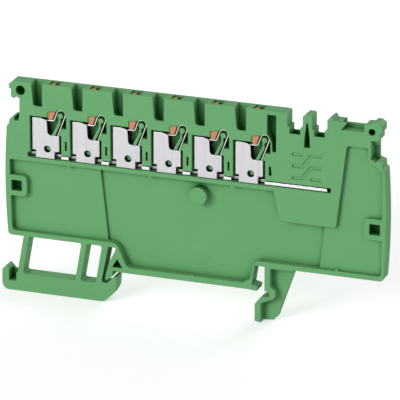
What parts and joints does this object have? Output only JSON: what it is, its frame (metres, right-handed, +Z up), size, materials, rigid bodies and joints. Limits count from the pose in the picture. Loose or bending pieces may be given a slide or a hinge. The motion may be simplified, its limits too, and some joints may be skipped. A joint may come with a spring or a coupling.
{
  "type": "distribution terminal block",
  "caption": "Slim push-in terminal block for a mounting rail: a moulded housing open on one side shows the current bar, spring clamps and the push buttons that release the wires.",
  "frame": {"origin": "middle of the flat face that rests on the mounting rail, halfway between the rail's edges and halfway through the housing", "axes": "+X along the block towards the fixed foot, bridge slots and marker seat; +Z up, away from the rail; the open side faces -Y and the closed back faces +Y"},
  "size_m": [0.0876, 0.0035, 0.0484],
  "materials": {
    "green_plastic": "satin moulded polyamide",
    "orange_plastic": "satin moulded polyamide",
    "tinned_copper": "bright tin plating over copper",
    "nickel_plated_steel": "satin nickel plating",
    "spring_steel": "rolled stainless strip"
  },
  "bodies": {
    "block": {"housing": "green_plastic", "current_bar": "tinned_copper", "clamp_cage_1": "nickel_plated_steel", "clamp_cage_2": "nickel_plated_steel", "clamp_cage_3": "nickel_plated_steel", "clamp_cage_4": "nickel_plated_steel", "clamp_cage_5": "nickel_plated_steel", "clamp_cage_6": "nickel_plated_steel", "clamp_spring_1": "spring_steel", "clamp_spring_2": "spring_steel", "clamp_spring_3": "spring_steel", "clamp_spring_4": "spring_steel", "clamp_spring_5": "spring_steel", "clamp_spring_6": "spring_steel"},
    "pusher_1": {"pusher_1": "orange_plastic"},
    "pusher_2": {"pusher_2": "orange_plastic"},
    "pusher_3": {"pusher_3": "orange_plastic"},
    "pusher_4": {"pusher_4": "orange_plastic"},
    "pusher_5": {"pusher_5": "orange_plastic"},
    "pusher_6": {"pusher_6": "orange_plastic"}
  },
  "joints": [
    {"name": "pusher_1_slide", "type": "slide", "parent": "block", "child": "pusher_1", "axis": [0, 0, -1], "range_m": [0, 0.0012], "stiffness_N_per_m": 5000, "springref_m": -0.0005, "deforming": ["clamp_spring_1"]},
    {"name": "pusher_2_slide", "type": "slide", "parent": "block", "child": "pusher_2", "axis": [0, 0, -1], "range_m": [0, 0.0012], "stiffness_N_per_m": 5000, "springref_m": -0.0005, "deforming": ["clamp_spring_2"]},
    {"name": "pusher_3_slide", "type": "slide", "parent": "block", "child": "pusher_3", "axis": [0, 0, -1], "range_m": [0, 0.0012], "stiffness_N_per_m": 5000, "springref_m": -0.0005, "deforming": ["clamp_spring_3"]},
    {"name": "pusher_4_slide", "type": "slide", "parent": "block", "child": "pusher_4", "axis": [0, 0, -1], "range_m": [0, 0.0012], "stiffness_N_per_m": 5000, "springref_m": -0.0005, "deforming": ["clamp_spring_4"]},
    {"name": "pusher_5_slide", "type": "slide", "parent": "block", "child": "pusher_5", "axis": [0, 0, -1], "range_m": [0, 0.0012], "stiffness_N_per_m": 5000, "springref_m": -0.0005, "deforming": ["clamp_spring_5"]},
    {"name": "pusher_6_slide", "type": "slide", "parent": "block", "child": "pusher_6", "axis": [0, 0, -1], "range_m": [0, 0.0012], "stiffness_N_per_m": 5000, "springref_m": -0.0005, "deforming": ["clamp_spring_6"]}
  ]
}
